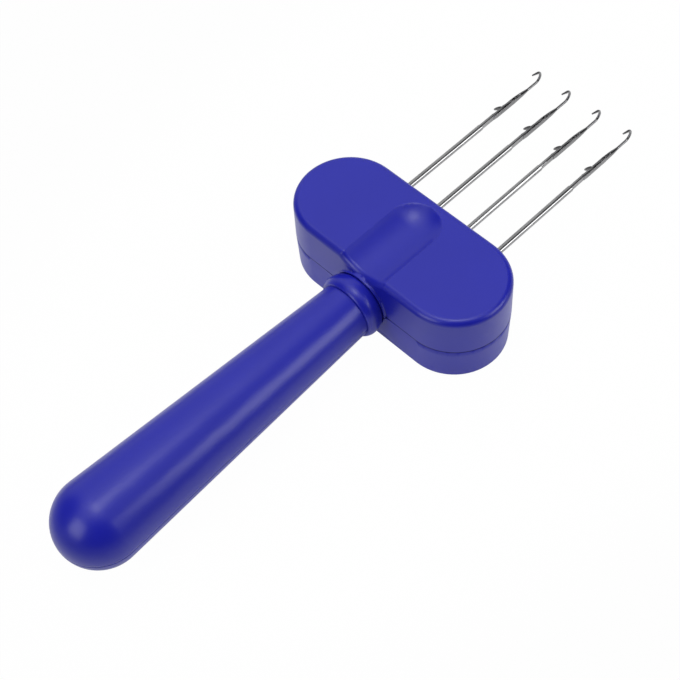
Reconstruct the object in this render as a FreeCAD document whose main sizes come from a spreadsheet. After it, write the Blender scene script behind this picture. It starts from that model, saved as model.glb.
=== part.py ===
import FreeCAD, Part
import math
import os
import types

import Sketcher

# A hand-held i-cord maker: four latch needles clamped in a two-part plastic head on a bulbous handle.
# Every sub-part is drawn about the handle's axis: +X runs from the handle to the hooks, +Y across the
# head, +Z up, with the head's centre at X = 0. Placements then stand the head's flat underside on Z = 0.

driving_sizes = [
    # head
    ("axis_height", 12.6, "handle axis above the flat underside"),
    ("upper_rise", 12.4, "top face above the handle axis"),
    ("head_length", 70.4, "head across the row of needles"),
    ("head_width", 31.0, "head along the handle"),
    ("shell_wall", 2.0, "wall of both shells"),
    ("upper_draft", 0.6, "draft of the top shell's sides, degrees"),
    ("lower_draft", 1.6, "draft of the bottom shell's sides, degrees"),
    ("top_round", 1.9, "round of the top face's edge"),
    ("bottom_round", 0.9, "round of the underside's edge"),
    ("seam_drop", 0.5, "top shell's skirt below the handle axis"),
    ("seam_gap", 0.2, "open line of the seam outside"),
    ("lap_gap", 0.1, "clearance in the lap joint between the shells"),
    # thumb recess
    ("recess_width", 15.4, "thumb recess across"),
    ("recess_depth", 2.5, "thumb recess deep"),
    ("recess_reach", 12.6, "far end of the thumb recess from the head's centre"),
    ("recess_round", 0.6, "round of the thumb recess's rim"),
    # mouth for the collar
    ("mouth_radius", 8.6, "round mouth in the rear wall"),
    ("lip_width", 0.55, "raised lip around the mouth"),
    ("lip_rise", 0.7, "lip proud of the rear wall"),
    ("lip_round", 0.2, "round of the lip's edges"),
    # handle
    ("handle_length", 98.8, "handle from its neck to the end of its ball"),
    ("ball_radius", 12.2, "ball end of the handle"),
    ("handle_neck_radius", 8.2, "handle at its neck"),
    ("handle_wall", 2.1, "wall of the hollow handle"),
    ("neck_round", 0.1, "round of the handle's neck edge"),
    # collar
    ("collar_width", 6.2, "handle neck to the head's rear wall"),
    ("bead_radius", 9.6, "bead of the collar"),
    ("crown_place", 2.35, "crown of the bead from the handle's neck"),
    ("bead_fall", 0.95, "fall of the bead from its crown to its front"),
    ("foot_round", 0.6, "tight round where the bead rises from the handle's neck"),
    ("flank_slope", 35.0, "slope of the bead's flank above that round, degrees"),
    ("mouth_gap", 0.2, "clearance of the collar's bead and neck from the mouth"),
    ("stem_length", 22.0, "collar stem inside the handle"),
    ("stem_bore", 3.5, "radius of the hollow in the stem"),
    ("flange_overlap", 2.0, "collar flange past the mouth on each side"),
    ("flange_width", 3.0, "collar flange thickness"),
    ("spigot_radius", 5.0, "spigot in front of the flange"),
    ("fit_gap", 0.1, "clearance of pieces that seat in each other"),
    # inside of the shells
    ("rib_width", 2.0, "ribs of the shells"),
    ("rib_reach", 4.0, "ribs past the outer needles"),
    ("front_rib_place", 8.0, "middle of the front needle rib"),
    ("rail_width", 5.0, "rail that holds the needles' tails"),
    ("outer_boss_place", 26.5, "outer screws from the head's middle"),
    ("inner_boss_forward", 4.0, "inner screws in front of the head's middle"),
    ("boss_wall", 1.1, "wall around a screw's head recess"),
    # screws
    ("screw_radius", 1.25, "shank of a shell screw"),
    ("screw_head_radius", 2.4, "head of a shell screw"),
    ("screw_head_height", 1.7, "head height"),
    ("screw_bite", 6.5, "screw thread in the top shell"),
    ("screw_clearance", 0.2, "clearance round a screw in the bottom shell"),
    ("screw_seat", 4.0, "screw seat above the underside"),
    ("drive_width", 0.6, "arm of the cross recess"),
    ("drive_reach", 1.4, "arm's end from the middle of the screw"),
    ("drive_depth", 1.0, "depth of the cross recess"),
    # needles
    ("needle_rise", 0.42, "needles above the handle axis, in the parting plane"),
    ("needle_pitch", 11.36, "spacing of the needles"),
    ("wire_radius", 0.95, "round shank of a needle"),
    ("tail_place", 3.0, "bent tail behind the head's centre"),
    ("tail_length", 6.0, "bent tail below the shank"),
    ("bend_radius", 1.6, "bend at the tail"),
    ("pinch_place", 51.5, "start of the flattened length"),
    ("pinch_width", 0.9, "flattened length across"),
    ("cheek_place", 57.0, "start of the swell that carries the latch"),
    ("cheek_ramp", 1.4, "length over which the swell grows"),
    ("cheek_end", 66.2, "end of the swell's full height"),
    ("cheek_radius", 0.92, "half the swell's height"),
    ("cheek_width", 1.15, "swell across"),
    ("cheek_sink", 0.28, "middle of the swell below the shank's"),
    ("throat_place", 70.0, "middle of the slope to the neck"),
    ("throat_radius", 0.66, "section in the middle of the slope"),
    ("throat_sink", 0.42, "its middle below the shank's"),
    ("neck_place", 72.5, "start of the thin neck"),
    ("neck_radius", 0.4, "thin neck and hook wire"),
    ("neck_sink", 0.58, "neck below the shank's middle"),
    ("hook_place", 76.15, "centre of the hook's bend"),
    ("hook_radius", 1.98, "hook's bend"),
    ("hook_lean", 20.0, "hook's point up from level, degrees"),
    ("point_length", 2.8, "straight length of the hook's point"),
    ("point_radius", 0.24, "wire at the hook's point"),
    # latches
    ("pivot_place", 67.3, "latch pivot"),
    ("pivot_sink", 0.22, "latch pivot below the shank's middle"),
    ("pin_radius", 0.22, "latch rivet"),
    ("pin_seat_gap", 0.01, "clearance of the rivet in the needle"),
    ("pin_gap", 0.03, "running clearance of the latch on its rivet"),
    ("eye_radius", 0.45, "eye of the latch"),
    ("latch_width", 0.4, "latch across"),
    ("slot_width", 0.52, "slot for the latch"),
    ("slot_gap", 0.1, "clearance under the latch and round its eye"),
    ("slot_end", 2.1, "front end of the slot from the pivot"),
    ("arm_half_height", 0.24, "half the height of the latch's arm"),
    ("spoon_root", 61.3, "start of the latch's spoon"),
    ("root_rise", 1.11, "start of the spoon above the shank's middle"),
    ("spoon_tip", 57.3, "tip of the latch's spoon"),
    ("tip_rise", 2.91, "tip of the spoon above the shank's middle"),
    ("spoon_half_width", 0.62, "half the spoon across"),
    ("spoon_depth", 0.4, "depth of the spoon outside"),
    ("spoon_wall", 0.16, "wall of the spoon"),
]


class Size:
    """A length that keeps both its number and the sheet expression it comes from."""

    def __init__(self, text, value):
        self.text = text
        self.value = value

    def join(self, sign, other, value, flipped=False):
        mine, its = self.text, as_size(other).text
        if flipped:
            mine, its = its, mine
        return Size(f"({mine} {sign} {its})", value)

    def __add__(self, other):
        return self.join("+", other, self.value + number(other))

    def __radd__(self, other):
        return self.join("+", other, number(other) + self.value, True)

    def __sub__(self, other):
        return self.join("-", other, self.value - number(other))

    def __rsub__(self, other):
        return self.join("-", other, number(other) - self.value, True)

    def __mul__(self, other):
        return self.join("*", other, self.value * number(other))

    def __rmul__(self, other):
        return self.join("*", other, number(other) * self.value, True)

    def __truediv__(self, other):
        return self.join("/", other, self.value / number(other))

    def __neg__(self):
        return Size(f"(0 - {self.text})", -self.value)


def as_size(value):
    return value if isinstance(value, Size) else Size(repr(float(value)), float(value))


def number(value):
    return as_size(value).value


def root(value):
    return Size(f"sqrt({value.text})", math.sqrt(value.value))


def sine(degrees):
    return Size(f"sin({degrees.text})", math.sin(math.radians(degrees.value)))


def cosine(degrees):
    return Size(f"cos({degrees.text})", math.cos(math.radians(degrees.value)))


def slope(rise, run):
    """The angle in degrees of a line that rises so much over that run."""
    angle = math.degrees(math.atan2(number(rise), number(run)))
    return Size(f"atan2({as_size(rise).text}; {as_size(run).text})", angle)


doc = FreeCAD.newDocument("cord_maker")
sheet = doc.addObject("Spreadsheet::Sheet", "Sizes")
size = types.SimpleNamespace()
for row, (alias, value, note) in enumerate(driving_sizes, 1):
    sheet.set(f"A{row}", note)
    sheet.set(f"B{row}", str(value))
    sheet.setAlias(f"B{row}", alias)
    setattr(size, alias, Size(f"Sizes.{alias}", value))
doc.recompute()

zero = Size("0", 0.0)


# --- sketches -------------------------------------------------------------------------------------------


def bind(item, path, value):
    item.setExpression(path, as_size(value).text)


def new_body(label, across=None, above=None):
    """A body whose own origin lies on the handle's axis, or beside and above it by the given lengths."""
    body = doc.addObject("PartDesign::Body", label)
    body.Label = label
    bind(body, ".Placement.Base.z", size.axis_height + (above or zero))
    if across is not None:
        bind(body, ".Placement.Base.y", across)
    return body


def new_sketch(body, name, role, away=None):
    """A sketch on one of the body's own planes, moved along that plane's normal by the length away."""
    plane = next(item for item in body.Origin.OriginFeatures if item.Role == role)
    sketch = body.newObject("Sketcher::SketchObject", name)
    sketch.AttachmentSupport = [(plane, "")]
    sketch.MapMode = "FlatFace"
    if away is not None:
        bind(sketch, ".AttachmentOffset.Base.z", away)
    return sketch


def pin(sketch, geometry, point, across=None, up=None):
    """Ties a point of the sketch to its origin."""
    for kind, value in (("DistanceX", across), ("DistanceY", up)):
        if value is not None:
            rule = Sketcher.Constraint(kind, -1, 1, geometry, point, number(value))
            bind(sketch, f"Constraints[{sketch.addConstraint(rule)}]", value)


def flat(across, up):
    return FreeCAD.Vector(number(across), number(up), 0)


def add_edge(sketch, start, end, bend):
    """A line, or an arc with bend = (centre across, centre up, 1 to turn left or -1 right).
    Returns its index and the numbers of its first and last point."""
    if bend is None:
        return sketch.addGeometry(Part.LineSegment(flat(*start), flat(*end)), False), 1, 2
    middle = flat(bend[0], bend[1])
    first, last = (start, end) if bend[2] > 0 else (end, start)
    angles = [math.atan2(*reversed(tuple(flat(*place) - middle)[:2])) for place in (first, last)]
    circle = Part.Circle(middle, FreeCAD.Vector(0, 0, 1), (flat(*start) - middle).Length)
    index = sketch.addGeometry(Part.ArcOfCircle(circle, *angles), False)
    chord = flat(*end) - flat(*start)
    if abs(chord.x) > abs(chord.y):
        pin(sketch, index, 3, up=bend[1])
    else:
        pin(sketch, index, 3, across=bend[0])
    return (index, 1, 2) if bend[2] > 0 else (index, 2, 1)


def outline(sketch, corners):
    """Joins corners (across, up) with lines all the way round. A corner (across, up, centre across,
    centre up, turn) starts an arc instead. Each corner's place comes from the sheet."""
    places = [corner[:2] for corner in corners]
    bends = [corner[2:] or None for corner in corners]
    ends = places[1:] + places[:1]
    edges = [add_edge(sketch, *each) for each in zip(places, ends, bends)]
    for (index, first, _), place in zip(edges, places):
        pin(sketch, index, first, *place)
    for (index, _, last), (following, first, _) in zip(edges, edges[1:] + edges[:1]):
        sketch.addConstraint(Sketcher.Constraint("Coincident", index, last, following, first))
    return sketch


def circle(sketch, across, up, radius):
    shape = Part.Circle(flat(across, up), FreeCAD.Vector(0, 0, 1), number(radius))
    index = sketch.addGeometry(shape, False)
    pin(sketch, index, 3, across, up)
    rule = sketch.addConstraint(Sketcher.Constraint("Radius", index, number(radius)))
    bind(sketch, f"Constraints[{rule}]", radius)
    return sketch


def rectangle(sketch, left, right, bottom, top):
    return outline(sketch, [(left, bottom), (right, bottom), (right, top), (left, top)])


def stadium(sketch, half_width, half_length):
    """A slot shape with its round ends up and down the sketch."""
    middle = half_length - half_width
    corners = [
        (half_width, -middle),
        (half_width, middle, zero, middle, 1),
        (-half_width, middle),
        (-half_width, -middle, zero, -middle, 1),
    ]
    return outline(sketch, corners)


# --- features -------------------------------------------------------------------------------------------


def volume(body):
    return body.Shape.Volume if not body.Shape.isNull() else 0.0


def settle(body, feature, sign):
    """Recomputes, and makes sure that the feature added (sign 1) or removed (sign -1) material."""
    before = settle.volumes.get(body.Label, 0.0)
    body.Tip = feature
    doc.recompute()
    after = volume(body)
    if (after - before) * sign <= 0:
        raise RuntimeError(f"{body.Label}: {feature.Label} changed nothing ({before:.3f} to {after:.3f})")
    settle.volumes[body.Label] = after
    return feature


settle.volumes = {}


def extrude(body, sketch, length, sign, taper=None, backwards=False, middle=False):
    kind = "Pad" if sign > 0 else "Pocket"
    feature = body.newObject(f"PartDesign::{kind}", f"{sketch.Name}_{kind.lower()}")
    feature.Profile = sketch
    feature.SideType = "Symmetric" if middle else "One side"
    feature.Reversed = backwards
    bind(feature, "Length", length)
    if taper is not None:
        bind(feature, "TaperAngle", taper)
    return settle(body, feature, sign)


def pad(body, sketch, length, **options):
    return extrude(body, sketch, length, 1, **options)


def pocket(body, sketch, length, **options):
    return extrude(body, sketch, length, -1, **options)


def axis_line(sketch, start, end):
    """A line of the sketch to turn about, called Axis0."""
    index = sketch.addGeometry(Part.LineSegment(flat(*start), flat(*end)), True)
    pin(sketch, index, 1, *start)
    pin(sketch, index, 2, *end)


def turn(body, sketch, sign, axis="H_Axis", angle=360, backwards=False):
    kind = "Revolution" if sign > 0 else "Groove"
    feature = body.newObject(f"PartDesign::{kind}", f"{sketch.Name}_{kind.lower()}")
    feature.Profile = sketch
    feature.ReferenceAxis = (sketch, [axis])
    feature.Reversed = backwards
    bind(feature, "Angle", angle)
    return settle(body, feature, sign)


def edges_where(shape, test):
    edges = enumerate(shape.Edges, 1)
    return [f"Edge{index}" for index, edge in edges if not edge.Degenerated and test(edge)]


def middle_of(edge):
    return edge.valueAt((edge.FirstParameter + edge.LastParameter) / 2)


def fillet(body, base, radius, test):
    feature = body.newObject("PartDesign::Fillet", f"{base.Name}_round")
    feature.Base = (base, edges_where(base.Shape, test))
    bind(feature, "Radius", radius)
    return settle(body, feature, -1)


def loft(body, sketches):
    """Straight-sided skin through the sketches in their order."""
    feature = body.newObject("PartDesign::AdditiveLoft", f"{sketches[0].Name}_loft")
    feature.Profile = sketches[0]
    feature.Sections = sketches[1:]
    feature.Ruled = True
    return settle(body, feature, 1)


def along(edge):
    """Limits of the box around an edge."""
    box = edge.BoundBox
    return box.XMin, box.XMax, box.YMin, box.YMax, box.ZMin, box.ZMax


near = 0.01

# --- places shared by several pieces --------------------------------------------------------------------

half_width = size.head_width / 2
half_length = size.head_length / 2
inner_half_width = half_width - size.shell_wall
inner_half_length = half_length - size.shell_wall
rear_wall_inside = -inner_half_width
parting = size.needle_rise
skirt_end = -size.seam_drop
lower_wall_top = skirt_end - size.seam_gap
ceiling = size.upper_rise - size.shell_wall
floor = size.shell_wall - size.axis_height
lap_half = size.shell_wall / 2
overrun = size.shell_wall
recess_bottom = size.upper_rise - size.recess_depth
recess_ceiling = recess_bottom - size.shell_wall
recess_half_width = size.recess_width / 2
recess_radius = (recess_half_width * recess_half_width + size.recess_depth * size.recess_depth) / (
    2 * size.recess_depth
)
neck_end = -(half_width + size.collar_width)
socket_radius = size.handle_neck_radius - size.handle_wall
needle_places = [size.needle_pitch * step for step in (1.5, 0.5, -0.5, -1.5)]
groove_radius = size.wire_radius + size.fit_gap / 2
rib_half_length = 1.5 * size.needle_pitch + size.rib_reach
flange_half_width = size.mouth_radius + size.flange_overlap
flange_half_height = recess_ceiling - size.fit_gap
flange_back = rear_wall_inside + size.fit_gap
flange_front = flange_back + size.flange_width
saddle_back = flange_front + size.fit_gap
saddle_front = saddle_back + size.rib_width
block_half_width = flange_half_width + size.fit_gap + size.rib_width
rail_back = -(size.tail_place + size.rail_width / 2)
rail_front = rail_back + size.rail_width
screw_places = [
    (zero, size.outer_boss_place),
    (size.inner_boss_forward, size.needle_pitch),
    (size.inner_boss_forward, -size.needle_pitch),
    (zero, -size.outer_boss_place),
]
screw_seat_level = size.screw_seat - size.axis_height
pilot_radius = size.screw_radius + size.fit_gap / 2
head_recess_radius = size.screw_head_radius + size.screw_clearance
lower_boss_radius = head_recess_radius + size.boss_wall
upper_boss_radius = pilot_radius + size.rib_width


# --- shells ---------------------------------------------------------------------------------------------


def inner_blocks(body, side, level):
    """Ribs, needle rail, collar block and bosses of a shell, from the parting plane to the level of its
    floor or ceiling. They end inside that wall, so that they are one solid with it."""
    depth = (level - parting) * side + lap_half
    front = size.front_rib_place
    ribs = [
        ("front_rib", front - size.rib_width / 2, front + size.rib_width / 2, rib_half_length),
        ("needle_rail", rail_back, rail_front, rib_half_length),
        ("collar_block", rear_wall_inside - lap_half / 2, saddle_front, block_half_width),
    ]
    for name, back, ahead, reach in ribs:
        sketch = new_sketch(body, f"{body.Label}_{name}", "XY_Plane", parting)
        pad(body, rectangle(sketch, back, ahead, -reach, reach), depth, backwards=side < 0)
    bosses = new_sketch(body, f"{body.Label}_bosses", "XY_Plane", parting)
    for forward, across in screw_places:
        circle(bosses, forward, across, upper_boss_radius if side > 0 else lower_boss_radius)
    pad(body, bosses, depth, backwards=side < 0)


def collar_seat(body, side):
    """A pocket for the collar's flange, and a half-round saddle for its spigot."""
    level = recess_ceiling * side
    reach = flange_half_width + size.fit_gap
    sketch = new_sketch(body, f"{body.Label}_flange_pocket", "XY_Plane", level)
    rectangle(sketch, rear_wall_inside, saddle_back, -reach, reach)
    pocket(body, sketch, (level - parting) * side + overrun, backwards=side < 0)
    sketch = new_sketch(body, f"{body.Label}_saddle", "YZ_Plane", flange_back)
    circle(sketch, zero, zero, size.spigot_radius + size.fit_gap)
    pocket(body, sketch, saddle_front - flange_back + size.fit_gap, backwards=True)


def mouth(body, side, level):
    """The mouth's raised lip, as a part of a disc with its chord at the level, and the round hole."""
    lip_radius = size.mouth_radius + size.lip_width
    lip_face = -(half_width + size.lip_rise)
    chord = root(lip_radius * lip_radius - level * level) * side
    sketch = new_sketch(body, f"{body.Label}_lip", "YZ_Plane", lip_face)
    outline(sketch, [(chord, level, zero, zero, 1), (-chord, level)])
    pad(body, sketch, size.lip_rise + lap_half / 2)
    sketch = new_sketch(body, f"{body.Label}_mouth", "YZ_Plane", lip_face - overrun)
    circle(sketch, zero, zero, size.mouth_radius)
    hole = pocket(body, sketch, overrun + size.lip_rise + size.shell_wall + 2 * size.fit_gap, backwards=True)

    def on_lip(edge):
        point = middle_of(edge)
        out = math.hypot(point.y, point.z)
        on_circle = min(abs(out - number(radius)) for radius in (lip_radius, size.mouth_radius)) < near
        return abs(point.x - number(lip_face)) < near and on_circle

    fillet(body, hole, size.lip_round, on_lip)


def needle_grooves(body, side):
    """Round-bottomed seats for the needles, open to the parting plane and through the front wall."""
    back = -(size.tail_place + groove_radius)
    depth = parting - skirt_end + overrun
    sketch = new_sketch(body, f"{body.Label}_grooves", "YZ_Plane", back)
    for place in needle_places:
        left, right = place + groove_radius * side, place - groove_radius * side
        mouth_level = parting - depth * side
        seat = [(left, parting, place, parting, 1), (right, parting)]
        outline(sketch, [(left, mouth_level), *seat, (right, mouth_level)])
    pocket(body, sketch, half_width + overrun - back, backwards=True)


def make_top_shell():
    body = new_body("top_shell")
    sketch = stadium(new_sketch(body, "top_outline", "XY_Plane", skirt_end), half_width, half_length)
    pad(body, sketch, size.upper_rise - skirt_end, taper=-size.upper_draft)
    sketch = new_sketch(body, "top_lap", "XY_Plane", skirt_end)
    stadium(sketch, half_width - lap_half, half_length - lap_half)
    pocket(body, sketch, parting - skirt_end, backwards=True)
    sketch = new_sketch(body, "top_inside", "XY_Plane", parting)
    stadium(sketch, inner_half_width, inner_half_length)
    pocket(body, sketch, ceiling - parting, backwards=True)
    sketch = new_sketch(body, "recess_backing", "XY_Plane", recess_ceiling)
    reach = recess_half_width + size.shell_wall
    rectangle(sketch, -half_width + lap_half, half_width - lap_half, -reach, reach)
    pad(body, sketch, ceiling + lap_half - recess_ceiling)
    inner_blocks(body, 1, ceiling)
    collar_seat(body, 1)
    needle_grooves(body, 1)
    sketch = new_sketch(body, "pilot_holes", "XY_Plane", parting)
    for forward, across in screw_places:
        circle(sketch, forward, across, pilot_radius)
    pocket(body, sketch, size.screw_bite + size.fit_gap, backwards=True)

    # the thumb recess is a round-bottomed trough with a spherical end, open towards the handle
    centre_up = recess_bottom + recess_radius
    centre_forward = size.recess_reach - recess_half_width
    behind = -(half_width + overrun)
    scoop = new_sketch(body, "recess_outline", "XZ_Plane")
    corners = [
        (behind, centre_up),
        (behind, recess_bottom),
        (centre_forward, recess_bottom, centre_forward, centre_up, 1),
        (centre_forward + recess_radius, centre_up),
    ]
    outline(scoop, corners)
    axis_line(scoop, (behind, centre_up), (zero, centre_up))
    recess = turn(body, scoop, -1, "Axis0")

    top = number(size.upper_rise)
    draft_inset = number(size.upper_rise - skirt_end) * math.tan(math.radians(number(size.upper_draft)))
    middle_length = number(half_length - half_width)

    def on_recess_rim(edge):
        low_y, high_y, low_z = along(edge)[2:5]
        return low_z > top - near and max(-low_y, high_y) < number(recess_half_width) + near

    def on_outer_edge(edge):
        point = middle_of(edge)
        out = math.hypot(point.x, max(abs(point.y) - middle_length, 0))
        return along(edge)[4] > number(recess_bottom) - near and out > number(half_width) - draft_inset - near

    rounded = fillet(body, recess, size.recess_round, on_recess_rim)
    fillet(body, rounded, size.top_round, on_outer_edge)
    mouth(body, 1, skirt_end)


def make_bottom_shell():
    body = new_body("bottom_shell")
    underside = -size.axis_height
    sketch = new_sketch(body, "bottom_outline", "XY_Plane", lower_wall_top)
    stadium(sketch, half_width, half_length)
    block = pad(body, sketch, lower_wall_top - underside, taper=-size.lower_draft, backwards=True)
    fillet(body, block, size.bottom_round, lambda edge: along(edge)[5] < number(underside) + near)
    sketch = new_sketch(body, "bottom_inside", "XY_Plane", lower_wall_top)
    stadium(sketch, inner_half_width, inner_half_length)
    pocket(body, sketch, lower_wall_top - floor)
    sketch = new_sketch(body, "bottom_tongue", "XY_Plane", lower_wall_top)
    stadium(sketch, half_width - lap_half - size.lap_gap, half_length - lap_half - size.lap_gap)
    stadium(sketch, inner_half_width, inner_half_length)
    pad(body, sketch, parting - lower_wall_top)
    inner_blocks(body, -1, floor)
    collar_seat(body, -1)
    needle_grooves(body, -1)

    # the needles' bent tails drop into straight slots in the rail
    for index, place in enumerate(needle_places, 1):
        slot = new_sketch(body, f"tail_slot_{index}", "XY_Plane", parting)
        back, ahead = -(size.tail_place + groove_radius), size.bend_radius - size.tail_place
        rectangle(slot, back, ahead, place - groove_radius, place + groove_radius)
        pocket(body, slot, size.tail_length + size.fit_gap)

    mouth(body, -1, lower_wall_top)
    for name, radius, depth in (
        ("screw_holes", size.screw_radius + size.screw_clearance, parting - underside),
        ("head_recesses", head_recess_radius, size.screw_seat),
    ):
        sketch = new_sketch(body, name, "XY_Plane", underside)
        for forward, across in screw_places:
            circle(sketch, forward, across, radius)
        pocket(body, sketch, depth, backwards=True)


def make_shell_screws():
    """Four self-tapping screws, driven up through the bottom shell."""
    body = new_body("shell_screws")
    body.AllowCompound = True
    for name, radius, length, down in (
        ("shanks", size.screw_radius, parting + size.screw_bite - screw_seat_level, False),
        ("heads", size.screw_head_radius, size.screw_head_height, True),
    ):
        sketch = new_sketch(body, f"screw_{name}", "XY_Plane", screw_seat_level)
        for forward, across in screw_places:
            circle(sketch, forward, across, radius)
        pad(body, sketch, length, backwards=down)
    half = size.drive_width / 2
    head_face = screw_seat_level - size.screw_head_height
    for name, reach_forward, reach_across in (
        ("long", size.drive_reach, half),
        ("cross", half, size.drive_reach),
    ):
        sketch = new_sketch(body, f"drive_{name}", "XY_Plane", head_face)
        for forward, across in screw_places:
            rectangle(
                sketch,
                forward - reach_forward,
                forward + reach_forward,
                across - reach_across,
                across + reach_across,
            )
        pocket(body, sketch, size.drive_depth, backwards=True)


# --- handle and collar ----------------------------------------------------------------------------------


def make_handle():
    """A hollow cone that runs into its ball without a step, with a straight socket for the stem."""
    body = new_body("handle")
    ball_centre = neck_end - size.handle_length + size.ball_radius
    run, rise = neck_end - ball_centre, size.handle_neck_radius
    square = run * run + rise * rise
    tangent = root(square - size.ball_radius * size.ball_radius)
    forward = (size.ball_radius * run - tangent * rise) / square
    outward = (size.ball_radius * rise + tangent * run) / square
    inner_ball = size.ball_radius - size.handle_wall
    socket_end = neck_end - size.stem_length - size.fit_gap
    step_radius = (inner_ball - (socket_end - ball_centre) * forward) / outward
    corners = [
        (neck_end, socket_radius),
        (neck_end, size.handle_neck_radius),
        (ball_centre + size.ball_radius * forward, size.ball_radius * outward, ball_centre, zero, 1),
        (ball_centre - size.ball_radius, zero),
        (ball_centre - inner_ball, zero, ball_centre, zero, -1),
        (ball_centre + inner_ball * forward, inner_ball * outward),
        (socket_end, step_radius),
        (socket_end, socket_radius),
    ]
    shell = turn(body, outline(new_sketch(body, "handle_outline", "XZ_Plane"), corners), 1)

    def on_neck(edge):
        point = middle_of(edge)
        wide = math.hypot(point.y, point.z) > number(socket_radius) + near
        return abs(point.x - number(neck_end)) < near and wide

    fillet(body, shell, size.neck_round, on_neck)


def make_collar():
    """Stem, bead and neck turned in one, with a flat-sided flange that keys the handle in the shells."""
    body = new_body("handle_collar")
    stem_radius = socket_radius - size.fit_gap
    stem_end = neck_end - size.stem_length
    crown = neck_end + size.crown_place
    lean_forward, lean_up = sine(size.flank_slope), cosine(size.flank_slope)
    foot_run = size.foot_round * (1 - lean_forward)
    flank_radius = (size.crown_place - foot_run) / lean_forward
    flank_centre = size.bead_radius - flank_radius
    flank_start = flank_centre + flank_radius * lean_up
    foot_start = flank_start - size.foot_round * lean_up
    bead_front = -(half_width + size.lip_rise + size.mouth_gap)
    run = bead_front - crown
    front_radius = (run * run + size.bead_fall * size.bead_fall) / (2 * size.bead_fall)
    neck_radius = size.mouth_radius - size.mouth_gap
    corners = [
        (stem_end, size.stem_bore),
        (stem_end, stem_radius),
        (neck_end, stem_radius),
        (neck_end, foot_start, neck_end + size.foot_round, foot_start, -1),
        (neck_end + foot_run, flank_start, crown, flank_centre, -1),
        (crown, size.bead_radius, crown, size.bead_radius - front_radius, -1),
        (bead_front, size.bead_radius - size.bead_fall),
        (bead_front, neck_radius),
        (flange_back, neck_radius),
        (flange_back, size.spigot_radius),
        (saddle_front, size.spigot_radius),
        (saddle_front, zero),
        (neck_end, zero),
        (neck_end, size.stem_bore),
    ]
    turn(body, outline(new_sketch(body, "collar_outline", "XZ_Plane"), corners), 1)
    sketch = new_sketch(body, "flange_outline", "YZ_Plane", flange_back)
    rectangle(sketch, -flange_half_width, flange_half_width, -flange_half_height, flange_half_height)
    pad(body, sketch, size.flange_width)


# --- needles, rivets and latches ------------------------------------------------------------------------


def flats(body, name, start, end, width):
    """Cuts a length of the needle flat on both sides."""
    sketch = new_sketch(body, name, "XY_Plane")
    far = size.cheek_width + size.cheek_radius
    for near_side, far_side in ((width / 2, far), (-far, -(width / 2))):
        rectangle(sketch, start, end, near_side, far_side)
    pocket(body, sketch, 4 * size.cheek_radius, middle=True)


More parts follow.
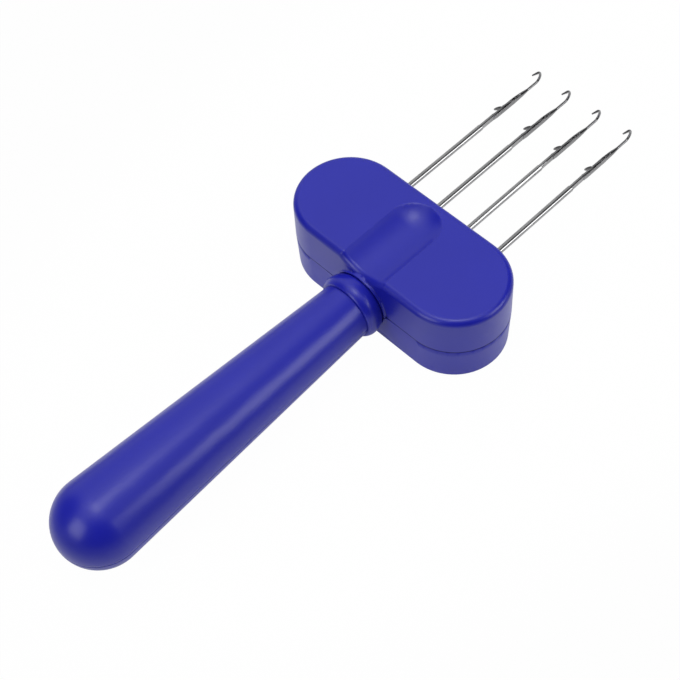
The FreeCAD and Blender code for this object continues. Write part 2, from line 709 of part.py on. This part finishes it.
def make_needle(index, place):
    body = new_body(f"needle_{index}", place, parting)
    neck_level = -size.neck_sink
    tail = -size.tail_place

    # bent tail and round shank
    bend_end = tail + size.bend_radius
    sketch = new_sketch(body, f"shank_{index}", "YZ_Plane", bend_end)
    pad(body, circle(sketch, zero, zero, size.wire_radius), size.cheek_place - bend_end)
    sketch = new_sketch(body, f"bend_{index}", "YZ_Plane", bend_end)
    circle(sketch, zero, zero, size.wire_radius)
    axis_line(sketch, (zero, -size.bend_radius), (size.bend_radius, -size.bend_radius))
    turn(body, sketch, 1, "Axis0", 90, True)
    sketch = new_sketch(body, f"tail_{index}", "XY_Plane", -size.tail_length)
    pad(body, circle(sketch, tail, zero, size.wire_radius), size.tail_length - size.bend_radius)
    flats(body, f"pinch_{index}", size.pinch_place, size.cheek_place, size.pinch_width)

    # swell around the latch, sloping down to the thin neck
    stations = [
        (size.cheek_place, size.wire_radius, zero),
        (size.cheek_place + size.cheek_ramp, size.cheek_radius, size.cheek_sink),
        (size.cheek_end, size.cheek_radius, size.cheek_sink),
        (size.throat_place, size.throat_radius, size.throat_sink),
        (size.neck_place, size.neck_radius, size.neck_sink),
    ]
    rings = []
    for ring, (forward, radius, sink) in enumerate(stations, 1):
        sketch = new_sketch(body, f"swell_{index}_{ring}", "YZ_Plane", forward)
        rings.append(circle(sketch, zero, -sink, radius))
    loft(body, rings)
    flats(body, f"cheeks_{index}", size.cheek_place, size.neck_place, size.cheek_width)

    # hook
    sketch = new_sketch(body, f"neck_{index}", "YZ_Plane", size.neck_place)
    circle(sketch, zero, neck_level, size.neck_radius)
    pad(body, sketch, size.hook_place - size.neck_place)
    sketch = new_sketch(body, f"hook_{index}", "YZ_Plane", size.hook_place)
    circle(sketch, zero, neck_level, size.neck_radius)
    bend_up = neck_level + size.hook_radius
    axis_line(sketch, (zero, bend_up), (size.hook_radius, bend_up))
    turn(body, sketch, 1, "Axis0", 180 - size.hook_lean, True)
    lean_forward, lean_up = cosine(size.hook_lean), sine(size.hook_lean)
    point_start = (size.hook_place + size.hook_radius * lean_up, bend_up + size.hook_radius * lean_forward)

    def beside_point(length, out):
        """A place in the hook's plane, a length along its point and so far above the point's middle."""
        across = point_start[0] - length * lean_forward + out * lean_up
        return across, point_start[1] + length * lean_up + out * lean_forward

    point = new_sketch(body, f"point_{index}", "XZ_Plane")
    straight = size.point_length - size.point_radius
    axis_line(point, point_start, beside_point(straight, zero))
    corners = [
        point_start,
        beside_point(zero, size.neck_radius),
        (*beside_point(straight, size.point_radius), *beside_point(straight, zero), 1),
        beside_point(size.point_length, zero),
    ]
    turn(body, outline(point, corners), 1, "Axis0")

    # slot with its floor under the open latch, and the rivet's hole
    slot = new_sketch(body, f"slot_{index}", "XZ_Plane")
    floor_under_eye = -(size.pivot_sink + size.eye_radius + size.slot_gap)
    slot_top = size.cheek_radius + overrun
    front = size.pivot_place + size.slot_end
    drop = size.arm_half_height + size.slot_gap
    corners = [
        (front, slot_top),
        (size.spoon_root - size.cheek_radius, slot_top),
        (size.spoon_root - size.cheek_radius, size.root_rise - drop),
        (size.spoon_root, size.root_rise - drop),
        (size.pivot_place - size.eye_radius * 2, floor_under_eye),
        (front - size.eye_radius, floor_under_eye),
    ]
    pocket(body, outline(slot, corners), size.slot_width, middle=True)
    sketch = new_sketch(body, f"pin_hole_{index}", "XZ_Plane")
    circle(sketch, size.pivot_place, -size.pivot_sink, size.pin_radius + size.pin_seat_gap)
    pocket(body, sketch, size.cheek_width * 2, middle=True)


def make_rivet(index, place):
    body = new_body(f"latch_rivet_{index}", place, parting - size.pivot_sink)
    sketch = circle(new_sketch(body, f"pin_{index}", "XZ_Plane"), size.pivot_place, zero, size.pin_radius)
    pad(body, sketch, size.cheek_width, middle=True)


def spoon_half(body, name, kind, wall):
    """Half of an ellipsoid, or a whole one to hollow it, along the open latch's spoon."""
    back, ahead = size.spoon_tip, size.spoon_root
    low, high = size.root_rise + size.pivot_sink, size.tip_rise + size.pivot_sink
    run, rise = ahead - back, high - low
    feature = body.newObject(f"PartDesign::{kind}Ellipsoid", name)
    plane = next(item for item in body.Origin.OriginFeatures if item.Role == "XY_Plane")
    feature.AttachmentSupport = [(plane, "")]
    feature.MapMode = "FlatFace"
    turned = FreeCAD.Rotation(FreeCAD.Vector(0, 1, 0), 1)
    feature.AttachmentOffset = FreeCAD.Placement(FreeCAD.Vector(), turned)
    bind(feature, "AttachmentOffset.Base.x", (back + ahead) / 2)
    bind(feature, "AttachmentOffset.Base.z", (low + high) / 2)
    bind(feature, "AttachmentOffset.Rotation.Angle", slope(rise, run))
    bind(feature, "Radius1", size.spoon_depth - wall)
    bind(feature, "Radius2", root(run * run + rise * rise) / 2 - wall)
    bind(feature, "Radius3", size.spoon_half_width - wall)
    sign = 1 if kind == "Additive" else -1
    feature.Angle1 = -90
    feature.Angle2 = 0 if sign > 0 else 90
    settle(body, feature, sign)


def make_latch(index, place):
    """Lies open along the slot with its spoon to the back, and turns forward about its eye."""
    body = new_body(f"latch_{index}", place, parting - size.pivot_sink)
    spoon_half(body, f"spoon_{index}", "Additive", zero)
    arm = new_sketch(body, f"arm_{index}", "XZ_Plane")
    root_up = size.root_rise + size.pivot_sink
    corners = [
        (size.pivot_place, -size.arm_half_height),
        (size.pivot_place, size.arm_half_height),
        (size.spoon_root, root_up + size.arm_half_height),
        (size.spoon_root - size.arm_half_height, root_up),
        (size.spoon_root, root_up - size.arm_half_height),
    ]
    pad(body, outline(arm, corners), size.latch_width, middle=True)
    spoon_half(body, f"spoon_hollow_{index}", "Subtractive", size.spoon_wall)
    eye = circle(new_sketch(body, f"eye_{index}", "XZ_Plane"), size.pivot_place, zero, size.eye_radius)
    pad(body, eye, size.latch_width, middle=True)
    sketch = new_sketch(body, f"eye_hole_{index}", "XZ_Plane")
    circle(sketch, size.pivot_place, zero, size.pin_radius + size.pin_gap)
    pocket(body, sketch, size.latch_width * 2, middle=True)


# --- assembly -------------------------------------------------------------------------------------------

make_top_shell()
make_bottom_shell()
make_shell_screws()
make_handle()
make_collar()
for index, place in enumerate(needle_places, 1):
    make_needle(index, place)
    make_rivet(index, place)
    make_latch(index, place)
doc.recompute()

for item in doc.Objects:
    if "Invalid" in item.State or "Error" in item.State:
        raise RuntimeError(f"{item.Label} failed: {item.State}")

bodies = [item for item in doc.Objects if item.TypeId == "PartDesign::Body"]
os.makedirs("parts", exist_ok=True)
for body in bodies:
    if body.Shape.isNull() or not body.Shape.isValid():
        raise RuntimeError(f"{body.Label} has no valid shape")
for body in bodies:
    body.Shape.exportStep(f"parts/{body.Label}.step")
    print(f"{body.Label}: {len(body.Shape.Solids)} solid(s), {body.Shape.Volume:.2f} mm3")
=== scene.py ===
import bpy
import math
from mathutils import Matrix, Vector


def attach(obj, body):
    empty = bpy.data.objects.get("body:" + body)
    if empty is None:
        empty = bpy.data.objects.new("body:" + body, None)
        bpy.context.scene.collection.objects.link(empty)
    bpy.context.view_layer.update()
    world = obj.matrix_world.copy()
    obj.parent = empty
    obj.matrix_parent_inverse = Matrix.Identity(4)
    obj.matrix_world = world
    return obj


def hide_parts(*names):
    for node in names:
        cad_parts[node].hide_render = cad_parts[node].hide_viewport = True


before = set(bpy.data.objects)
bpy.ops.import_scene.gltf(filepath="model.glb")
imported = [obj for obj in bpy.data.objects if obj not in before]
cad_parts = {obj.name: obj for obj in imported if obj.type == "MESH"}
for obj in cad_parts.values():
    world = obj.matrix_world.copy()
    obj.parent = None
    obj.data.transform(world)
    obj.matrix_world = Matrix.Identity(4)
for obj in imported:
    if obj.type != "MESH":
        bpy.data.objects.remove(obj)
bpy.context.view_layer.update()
mm = 0.001
mainBody = "head_and_handle"
needleCount = 4
axisHeight = 12.6 * mm  # the handle's axis above the underside
plainWhite = (1, 1, 1, 1)


class Wire:
    # a socket that takes + - * and ** and adds the Math nodes for them
    def __init__(self, board, socket):
        self.board = board
        self.socket = socket

    def math(self, operation, first, second):
        return self.board.wire("ShaderNodeMath", {"operation": operation}, {0: first, 1: second})

    def __add__(self, other):
        return self.math("ADD", self, other)

    def __radd__(self, other):
        return self.math("ADD", other, self)

    def __sub__(self, other):
        return self.math("SUBTRACT", self, other)

    def __rsub__(self, other):
        return self.math("SUBTRACT", other, self)

    def __mul__(self, other):
        return self.math("MULTIPLY", self, other)

    def __rmul__(self, other):
        return self.math("MULTIPLY", other, self)

    def __pow__(self, other):
        return self.math("POWER", self, other)

    def __rpow__(self, other):
        return self.math("POWER", other, self)


class NodeBoard:
    # an empty node tree, of a new material unless an owner is given, filled node by node
    def __init__(self, name, owner=None):
        self.material = owner or bpy.data.materials.new(name)
        self.material.use_nodes = True
        self.tree = self.material.node_tree
        self.tree.nodes.clear()

    def node(self, kind, settings=None, sockets=None):
        made = self.tree.nodes.new(kind)
        for name, value in (settings or {}).items():
            setattr(made, name, value)
        for name, value in (sockets or {}).items():
            if isinstance(value, Wire):
                self.tree.links.new(value.socket, made.inputs[name])
            else:
                made.inputs[name].default_value = value
        return made

    def wire(self, kind, settings=None, sockets=None, out=0):
        return Wire(self, self.node(kind, settings, sockets).outputs[out])

    def objectPlace(self, scale=(1, 1, 1), shift=(0, 0, 0)):
        coords = self.wire("ShaderNodeTexCoord", out="Object")
        return self.wire("ShaderNodeMapping", None, {"Vector": coords, "Scale": scale, "Location": shift})

    def rays(self, *kinds):
        path = self.node("ShaderNodeLightPath")
        return [Wire(self, path.outputs[f"Is {kind} Ray"]) for kind in kinds]

    def noise(self, place, scale, detail):
        return self.wire("ShaderNodeTexNoise", None, {"Vector": place, "Scale": scale, "Detail": detail})

    def absolute(self, value):
        return self.wire("ShaderNodeMath", {"operation": "ABSOLUTE"}, {0: value})

    def dot(self, first, second):
        return self.wire("ShaderNodeVectorMath", {"operation": "DOT_PRODUCT"},
                         {0: first, 1: second}, "Value")

    def remap(self, value, low, high, newLow, newHigh, curve="LINEAR"):
        return self.wire("ShaderNodeMapRange", {"clamp": True, "interpolation_type": curve},
                         {"Value": value, "From Min": low, "From Max": high,
                          "To Min": newLow, "To Max": newHigh})

    def fade(self, value, low, high):
        # 0 below low, 1 above high and smooth between them
        return self.remap(value, low, high, 0, 1, "SMOOTHSTEP")

    def mixColour(self, factor, first, second):
        # a colour mix has its factor in socket 0, its colours in 6 and 7 and its result in 2
        return self.wire("ShaderNodeMix", {"data_type": "RGBA"}, {0: factor, 6: first, 7: second}, 2)

    def drift(self, cloud, first, second, low=0.35, high=0.65):
        # from the first colour to the second as the noise goes from low to high
        return self.mixColour(self.remap(cloud, low, high, 0, 1), first, second)

    def bump(self, height, distance, under=None):
        sockets = {"Height": height, "Distance": distance}
        if under is not None:
            sockets["Normal"] = under
        return self.wire("ShaderNodeBump", None, sockets)

    def finish(self, **sockets):
        names = {name.replace("_", " "): value for name, value in sockets.items()}
        shader = self.wire("ShaderNodeBsdfPrincipled", None, names)
        self.node("ShaderNodeOutputMaterial", None, {"Surface": shader})
        return self.material


# in each finish a noise is given as its scale and detail, and a roughness as the two values of the
# noise that it goes between and the roughness at each
plasticFinish = {
    "colour": (0.0122, 0.0158, 0.405, 1),
    "shade": (0.0113, 0.0147, 0.384, 1),
    "cloud": (45, 3),
    "ripple": (120, 1.5),  # slow waviness of the moulded faces
    "rippleDepth": 0.012 * mm,
    "grain": (900, 2),  # fine texture left by the mould
    "grainDepth": 0.0007 * mm,
    "roughness": (0.7, 1.3, 0.28, 0.32),  # over cloud and grain added up
    "seamLevel": axisHeight - 0.6 * mm,  # the open line between the shells
    "seamShadeReach": (0.1 * mm, 0.22 * mm),  # how far from it the edges carry the full painted shade, and where that shade ends
    # painted shade: the dark blue that stands in for the shade falling into the gap between the shells
    "seamShadeColour": (0.005, 0.0065, 0.11, 1),
    "partingLevel": axisHeight - 0.75 * mm,  # where the mould's halves met around the handle
    "partingWidth": 0.42 * mm,
    "partingDepth": 0.24 * mm,
}


def makeBluePlastic(name, seamShaded=False, parted=False):
    board = NodeBoard(name)
    place = board.objectPlace()
    cloud = board.noise(place, *plasticFinish["cloud"])
    grain = board.noise(place, *plasticFinish["grain"])
    ripple = board.noise(place, *plasticFinish["ripple"])
    colour = board.drift(cloud, plasticFinish["shade"], plasticFinish["colour"])
    roughness = board.remap(cloud + grain, *plasticFinish["roughness"])
    wavy = board.bump(ripple, plasticFinish["rippleDepth"])
    surface = board.bump(grain, plasticFinish["grainDepth"], wavy)
    level = board.wire("ShaderNodeSeparateXYZ", None, {0: place}, "Z")
    # painted shade: near the seam the edges are darkened to stand in for the shade that falls into the
    # gap between the shells
    if seamShaded:
        off = board.absolute(level - plasticFinish["seamLevel"])
        outsideSeamShade = board.fade(off, *plasticFinish["seamShadeReach"])
        colour = board.mixColour(outsideSeamShade, plasticFinish["seamShadeColour"], colour)
    if parted:
        off = board.absolute(level - plasticFinish["partingLevel"])
        flank = board.fade(off, 0, plasticFinish["partingWidth"])
        surface = board.bump(flank, plasticFinish["partingDepth"], surface)
    return board.finish(Base_Color=colour, Roughness=roughness, IOR=1.5, Normal=surface)


needleFinish = {
    "bright": (0.44, 0.44, 0.445, 1),
    "dull": (0.36, 0.36, 0.365, 1),
    "formed": (0.235, 0.235, 0.242, 1),  # the pressed and bent end
    "change": (52 * mm, 61 * mm),  # where along the needle the shank's colour turns into that
    "cloud": (220, 3),
    "drawn": (2500, 2),
    "drawnStretch": (0.04, 1, 1),  # the marks run along the drawn wire
    "drawnDepth": 0.0006 * mm,
    "roughness": (0.3, 0.7, 0.1, 0.18),  # over drawn
}


def makeNeedleSteel():
    board = NodeBoard("needleSteel")
    place = board.objectPlace()
    drawn = board.noise(board.objectPlace(needleFinish["drawnStretch"]), *needleFinish["drawn"])
    cloud = board.noise(place, *needleFinish["cloud"])
    along = board.wire("ShaderNodeSeparateXYZ", None, {0: place}, "X")
    shank = board.drift(cloud, needleFinish["dull"], needleFinish["bright"])
    colour = board.mixColour(board.fade(along, *needleFinish["change"]), shank, needleFinish["formed"])
    roughness = board.remap(drawn, *needleFinish["roughness"])
    lines = board.bump(drawn, needleFinish["drawnDepth"])
    return board.finish(Base_Color=colour, Metallic=1.0, Roughness=roughness, Normal=lines)


screwFinish = {
    "bright": (0.55, 0.55, 0.54, 1),
    "dull": (0.4, 0.4, 0.4, 1),
    "cloud": (700, 3),
    "roughness": (0.3, 0.7, 0.28, 0.45),  # over cloud
    "pitting": 0.01 * mm,
}


def makeScrewSteel():
    board = NodeBoard("screwSteel")
    cloud = board.noise(board.objectPlace(), *screwFinish["cloud"])
    colour = board.drift(cloud, screwFinish["dull"], screwFinish["bright"])
    roughness = board.remap(cloud, *screwFinish["roughness"])
    return board.finish(Base_Color=colour, Metallic=1.0, Roughness=roughness,
                        Normal=board.bump(cloud, screwFinish["pitting"]))


bluePlastic = makeBluePlastic("bluePlastic")
# the shells' plastic, with painted shade along the seam between them
seamShadedPlastic = makeBluePlastic("seamShadedPlastic", seamShaded=True)
partedPlastic = makeBluePlastic("partedPlastic", parted=True)
needleSteel = makeNeedleSteel()
screwSteel = makeScrewSteel()
print("finishes made")


def deselectAll():
    bpy.ops.object.select_all(action="DESELECT")


skinMaking = {
    "weld": 0.0005 * mm,
    "smoothAngle": 32,
}


def skinOf(nodeName, material, body=mainBody):
    # a welded, smooth-shaded copy of a node
    deselectAll()
    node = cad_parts[nodeName]
    skin = bpy.data.objects.new(nodeName + ".skin", node.data.copy())
    bpy.context.collection.objects.link(skin)
    bpy.context.view_layer.objects.active = skin
    skin.select_set(True)
    bpy.ops.object.mode_set(mode="EDIT")
    bpy.ops.mesh.select_all(action="SELECT")
    bpy.ops.mesh.remove_doubles(threshold=skinMaking["weld"])
    bpy.ops.object.mode_set(mode="OBJECT")
    bpy.ops.object.shade_smooth_by_angle(angle=math.radians(skinMaking["smoothAngle"]))
    weigh = skin.modifiers.new("weigh", "WEIGHTED_NORMAL")
    weigh.keep_sharp = True
    bpy.ops.object.modifier_apply(modifier="weigh")
    skin.data.materials.clear()
    skin.data.materials.append(material)
    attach(skin, body)
    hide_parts(nodeName)


skinOf("top_shell", seamShadedPlastic)
skinOf("bottom_shell", seamShadedPlastic)
skinOf("handle_collar", bluePlastic)
skinOf("handle", partedPlastic)
skinOf("shell_screws", screwSteel)
for number in range(1, needleCount + 1):
    skinOf(f"needle_{number}", needleSteel)
    skinOf(f"latch_rivet_{number}", needleSteel)
    skinOf(f"latch_{number}", needleSteel, body=f"latch_{number}")
print("pieces made")


floorFinish = {
    "size": 6,
    "drop": 0.02 * mm,  # keeps the floor clear of the flat underside
    "white": (0.95, 0.95, 0.95, 1),
    "shade": (0.92, 0.92, 0.92, 1),
    "cloud": (12, 2),
    "far": (0.35, 0.35, 0.35, 1),  # the darker table around the white sheet
    "sheet": (78 * mm, 120 * mm),  # where the sheet begins to darken and where it ends
    "centre": (46 * mm, 2 * mm),
    "narrowing": 0.5,  # the sheet's width over its length, which runs along the handle
    "glow": 0.35,  # light that the sheet lets through
    "backdrop": 0.985,  # how much of the white backdrop shows over the shadow
}


def makeStage():
    board = NodeBoard("paleFloor")
    seen, clear = board.rays("Camera", "Transmission")
    cloud = board.noise(board.objectPlace(), *floorFinish["cloud"])
    paper = board.mixColour(cloud, floorFinish["shade"], floorFinish["white"])
    ahead, aside = floorFinish["centre"]
    narrowing = floorFinish["narrowing"]
    oval = board.objectPlace((narrowing, 1, 1), (-narrowing * ahead, -aside, 0))
    away = board.wire("ShaderNodeVectorMath", {"operation": "LENGTH"}, {0: oval}, "Value")
    tint = board.mixColour(board.fade(away, *floorFinish["sheet"]), paper, floorFinish["far"])
    matte = board.wire("ShaderNodeBsdfDiffuse", None, {"Color": tint})
    glow = board.wire("ShaderNodeEmission", None,
                      {"Color": board.mixColour(seen + clear, tint, plainWhite), "Strength": 1.0})
    share = floorFinish["glow"] + (seen + clear) * (floorFinish["backdrop"] - floorFinish["glow"])
    mixed = board.wire("ShaderNodeMixShader", None, {0: share, 1: matte, 2: glow})
    board.node("ShaderNodeOutputMaterial", None, {"Surface": mixed})
    deselectAll()
    bpy.ops.mesh.primitive_plane_add(size=floorFinish["size"], location=(0, 0, -floorFinish["drop"]))
    floor = bpy.context.object
    floor.name = "floor"
    floor.data.materials.append(board.material)


def wayTo(azimuth, elevation):
    flat = math.cos(math.radians(elevation))
    return Vector((flat * math.cos(math.radians(azimuth)), flat * math.sin(math.radians(azimuth)),
                   math.sin(math.radians(elevation))))


studio = {
    "low": 0.36,  # light from the sides of the tent
    "top": 1.05,  # more from overhead
    "topPower": 6.0,
    "flags": [
        # azimuth and elevation in degrees, cosines where the dark begins and where it is full, how dark
        (-126, 22, 0.52, 0.88, 0.95),
        (128, 24, 0.76, 0.95, 0.8),
        (-12, 40, 0.82, 0.95, 0.88),
    ],
    "panel": (56, 14, 0.62, 0.9, 0.4),  # the same for the pale side behind the head
}


def makeWorld():
    world = bpy.data.worlds.new("studio")
    bpy.context.scene.world = world
    board = NodeBoard("studio", world)
    way = board.wire("ShaderNodeTexCoord", out="Generated")

    def lobe(azimuth, elevation, edge, full):
        return board.fade(board.dot(way, wayTo(azimuth, elevation)), edge, full)

    above = board.remap(board.dot(way, (0, 0, 1)), 0, 1, 0, 1)
    level = studio["low"] + studio["top"] * above ** studio["topPower"]
    for *spot, dark in studio["flags"]:
        level = level * (1.0 - dark * lobe(*spot))
    *spot, pale = studio["panel"]
    seen, glossy, clear = board.rays("Camera", "Glossy", "Transmission")
    backdrop = seen + clear + glossy * lobe(*spot) * pale
    tent = board.wire("ShaderNodeBackground", None, {"Color": plainWhite, "Strength": level})
    white = board.wire("ShaderNodeBackground", None, {"Color": plainWhite, "Strength": 1.0})
    mixed = board.wire("ShaderNodeMixShader", None, {0: backdrop, 1: tent, 2: white})
    board.node("ShaderNodeOutputWorld", None, {"Surface": mixed})


lampSet = {
    "aim": (-0.02, 0, 0.01),
    "lamps": [
        # name, azimuth and elevation in degrees, distance, width and height in metres, brightness,
        # seen in gloss
        ("sideBox", -58, 27, 0.9, 0.52, 0.4, 3.05, True),
        ("backBox", 177, 30, 0.9, 0.46, 0.52, 2.6, True),
        ("topBox", -10, 89, 0.9, 0.28, 0.28, 3.3, True),
        ("farFill", 50, 58, 1.0, 1.0, 1.0, 0.98, False),
    ],
}


def makeLamps():
    for name, azimuth, elevation, distance, width, height, brightness, inGloss in lampSet["lamps"]:
        data = bpy.data.lights.new(name, "AREA")
        data.shape = "RECTANGLE"
        data.size = width
        data.size_y = height
        data.energy = brightness * math.pi * width * height
        lamp = bpy.data.objects.new(name, data)
        bpy.context.collection.objects.link(lamp)
        way = wayTo(azimuth, elevation)
        lamp.location = Vector(lampSet["aim"]) + way * distance
        lamp.rotation_euler = way.to_track_quat("Z", "Y").to_euler()
        lamp.visible_glossy = inGloss


view = {
    "place": (-164.59 * mm, -162.158 * mm, 311.056 * mm + axisHeight),
    "yaw": 49.208,
    "down": 56.383,
    "roll": -5.016,
    "lens": 74.28,
    "sensor": 36,
    "nearest": 0.01,
}


def makeCamera():
    data = bpy.data.cameras.new("camera")
    data.lens = view["lens"]
    data.sensor_width = view["sensor"]
    data.clip_start = view["nearest"]
    camera = bpy.data.objects.new("camera", data)
    bpy.context.collection.objects.link(camera)
    yaw, down, roll = (math.radians(view[name]) for name in ("yaw", "down", "roll"))
    ahead = Vector((math.cos(down) * math.cos(yaw), math.cos(down) * math.sin(yaw), -math.sin(down)))
    right = ahead.cross(Vector((0, 0, 1))).normalized()
    above = right.cross(ahead)
    turnedRight = right * math.cos(roll) + above * math.sin(roll)
    turnedAbove = above * math.cos(roll) - right * math.sin(roll)
    axes = Matrix((turnedRight, turnedAbove, -ahead)).transposed()
    camera.matrix_world = Matrix.Translation(view["place"]) @ axes.to_4x4()
    bpy.context.scene.camera = camera


makeStage()
makeWorld()
makeLamps()
makeCamera()
bpy.context.scene.view_settings.view_transform = "Standard"
print("stage, lamps and camera made")
